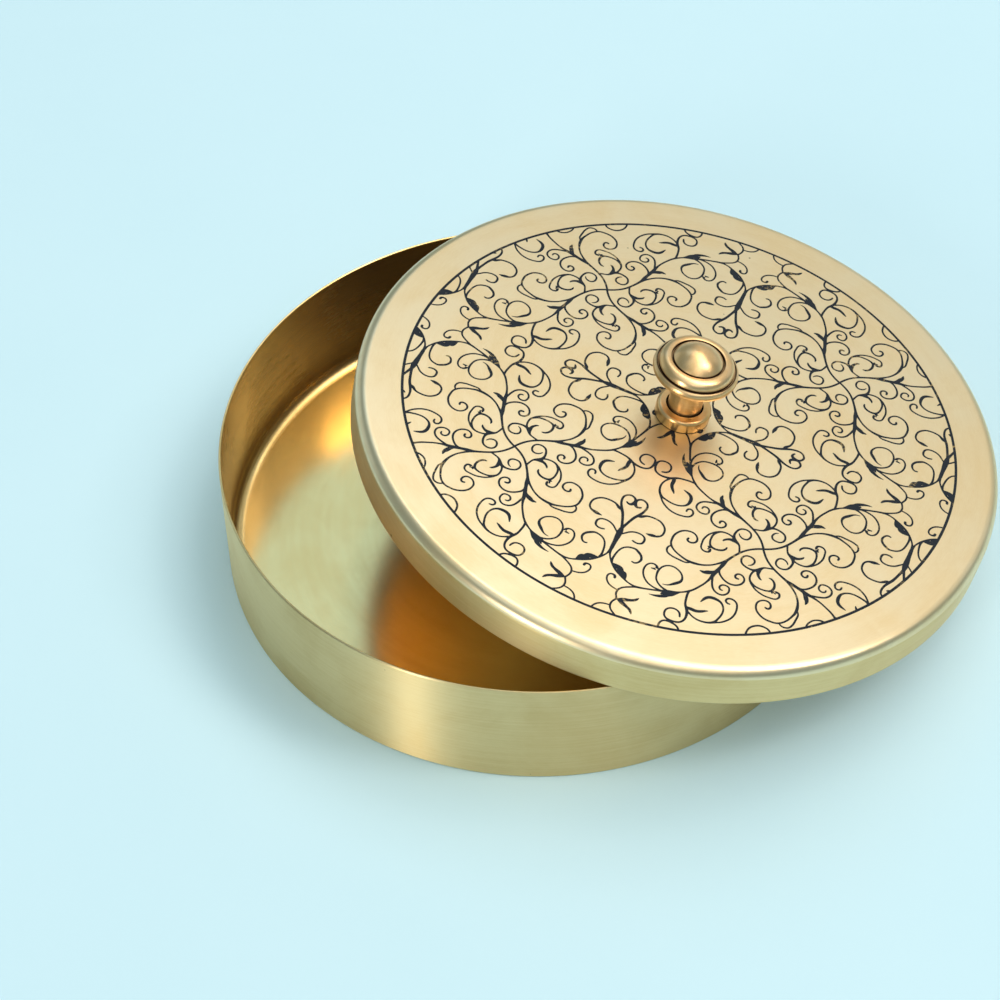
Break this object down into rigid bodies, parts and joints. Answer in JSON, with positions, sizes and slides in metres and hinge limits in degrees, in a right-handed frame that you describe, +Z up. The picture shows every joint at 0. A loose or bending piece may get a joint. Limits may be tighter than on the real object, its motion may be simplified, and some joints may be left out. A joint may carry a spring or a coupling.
{
  "type": "paan box",
  "caption": "Low round brushed-brass paan box with an overhanging lid, engraved with black-filled scrollwork and fitted with a turned knob, lying askew on the open rim.",
  "frame": {"origin": "centre of the box's flat base, on the surface it stands on", "axes": "+Z up along the axis of the box, +X towards the side the lid is pushed to and tips down on"},
  "size_m": [0.2459, 0.2048, 0.0791],
  "materials": {
    "box_brass": "brushed inside and out, burnished rim",
    "lid_brass": "satin, brushed round the skirt",
    "knob_brass": "polished, darkened in the grooves",
    "washer_brass": "plain",
    "screw_steel": "plain",
    "black_fill": "matt black wax or lac rubbed into the engraving"
  },
  "bodies": {
    "box": {"box_body": "box_brass"},
    "lid": {"lid_shell": "lid_brass", "ring_fill": "black_fill", "knob_collar": "knob_brass", "knob": "knob_brass", "knob_washer": "washer_brass", "knob_screw": "screw_steel"}
  },
  "joints": [
    {"name": "lid_lift", "type": "slide", "parent": "box", "child": "lid", "axis": [0, 0, 1], "range_m": [0, 0.06]}
  ]
}
